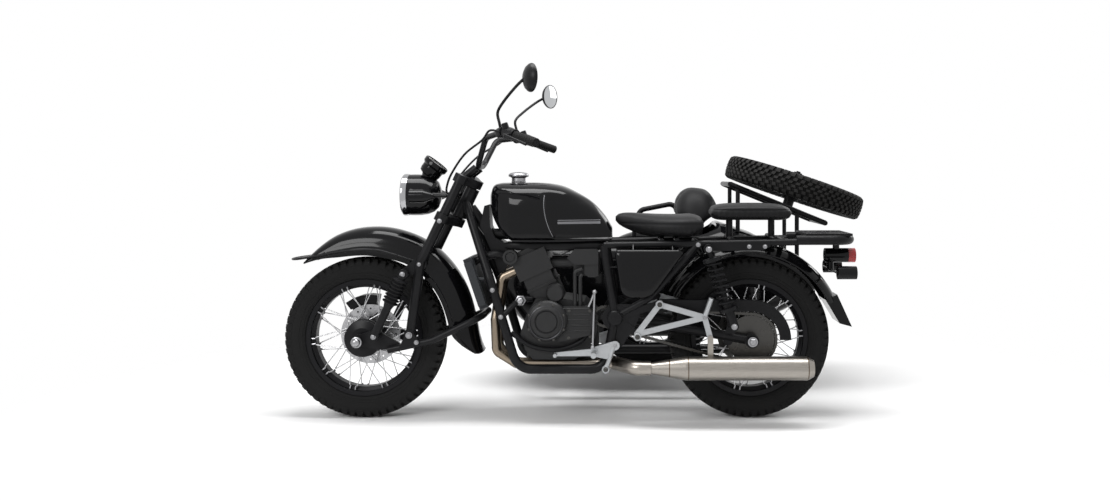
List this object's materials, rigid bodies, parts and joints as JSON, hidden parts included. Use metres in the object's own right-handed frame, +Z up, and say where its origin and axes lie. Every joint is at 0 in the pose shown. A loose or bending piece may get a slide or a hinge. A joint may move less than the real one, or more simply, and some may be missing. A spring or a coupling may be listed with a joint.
{
  "type": "sidecar motorcycle",
  "caption": "Black sidecar motorcycle with a leading-link fork, wire wheels, a solo saddle and pillion pad, and a one-seat sidecar carrying a spare wheel on its tail rack.",
  "frame": {"origin": "on the floor, below the middle of the whole outfit", "axes": "+X rearward, +Y towards the rider's right, where the sidecar is, +Z up"},
  "size_m": [2.5535, 1.625, 1.4335],
  "materials": {
    "paint": "gloss",
    "frame_black": "satin",
    "leather": "matt",
    "rubber": "matt",
    "chrome": "polished",
    "lens_red": "gloss",
    "lens_clear": "gloss",
    "glass": "polished",
    "stainless": "satin",
    "bare_aluminium": "satin",
    "disc_steel": "brushed",
    "engine_grey": "satin",
    "wheel_black": "satin"
  },
  "bodies": {
    "chassis": {"main_frame": "frame_black", "radiator": "frame_black", "engine_case": "engine_grey", "engine_head": "engine_grey", "fuel_tank": "paint", "fuel_cap": "chrome", "side_covers": "paint", "saddle": "leather", "pillion_pad": "leather", "rear_rack": "frame_black", "rear_fender": "paint", "rear_lamps": "frame_black", "tail_lens": "lens_red", "swingarm": "frame_black", "rear_shocks": "frame_black", "chain_guard": "frame_black", "drive_chain": "disc_steel", "exhaust_pipe": "stainless", "silencer": "stainless", "footrests": "bare_aluminium", "pillion_brackets": "bare_aluminium", "sidecar_chassis": "frame_black", "sidecar_tub": "paint", "sidecar_seat": "leather", "sidecar_rail": "frame_black", "sidecar_fender": "paint", "sidecar_arm": "frame_black", "boot_hinge": "frame_black", "spare_rack": "frame_black", "spare_tyre": "rubber", "spare_wheel": "wheel_black"},
    "steering": {"fork": "frame_black", "leading_link": "frame_black", "front_shocks": "frame_black", "front_fender": "paint", "headlight": "frame_black", "headlight_lens": "lens_clear", "handlebar": "frame_black", "grips": "rubber", "bar_controls": "frame_black", "mirrors": "frame_black", "mirror_glass": "glass", "front_indicators": "frame_black"},
    "wheel_front": {"front_tyre": "rubber", "front_wheel": "wheel_black", "front_disc": "disc_steel"},
    "wheel_rear": {"rear_tyre": "rubber", "rear_wheel": "wheel_black", "rear_sprocket": "disc_steel"},
    "wheel_sidecar": {"sidecar_tyre": "rubber", "sidecar_wheel": "wheel_black"},
    "lid": {"boot_lid": "paint", "lid_hinge": "frame_black"}
  },
  "joints": [
    {"name": "steering_axis", "type": "hinge", "parent": "chassis", "child": "steering", "pos_m": [-0.49653, -0.3275, 0.97649], "axis": [0.4337, 0, 0.9011], "range_deg": [-30, 30]},
    {"name": "front_spin", "type": "hinge", "parent": "steering", "child": "wheel_front", "pos_m": [-0.95309, -0.3275, 0.335], "axis": [0, 1, 0], "continuous": true},
    {"name": "rear_spin", "type": "hinge", "parent": "chassis", "child": "wheel_rear", "pos_m": [0.65191, -0.3275, 0.335], "axis": [0, 1, 0], "continuous": true},
    {"name": "sidecar_spin", "type": "hinge", "parent": "chassis", "child": "wheel_sidecar", "pos_m": [0.26691, 0.7245, 0.335], "axis": [0, 1, 0], "continuous": true},
    {"name": "boot_lid_hinge", "type": "hinge", "parent": "chassis", "child": "lid", "pos_m": [1.04117, 0.2725, 0.4822], "axis": [0, 1, 0], "range_deg": [0, 80]}
  ]
}
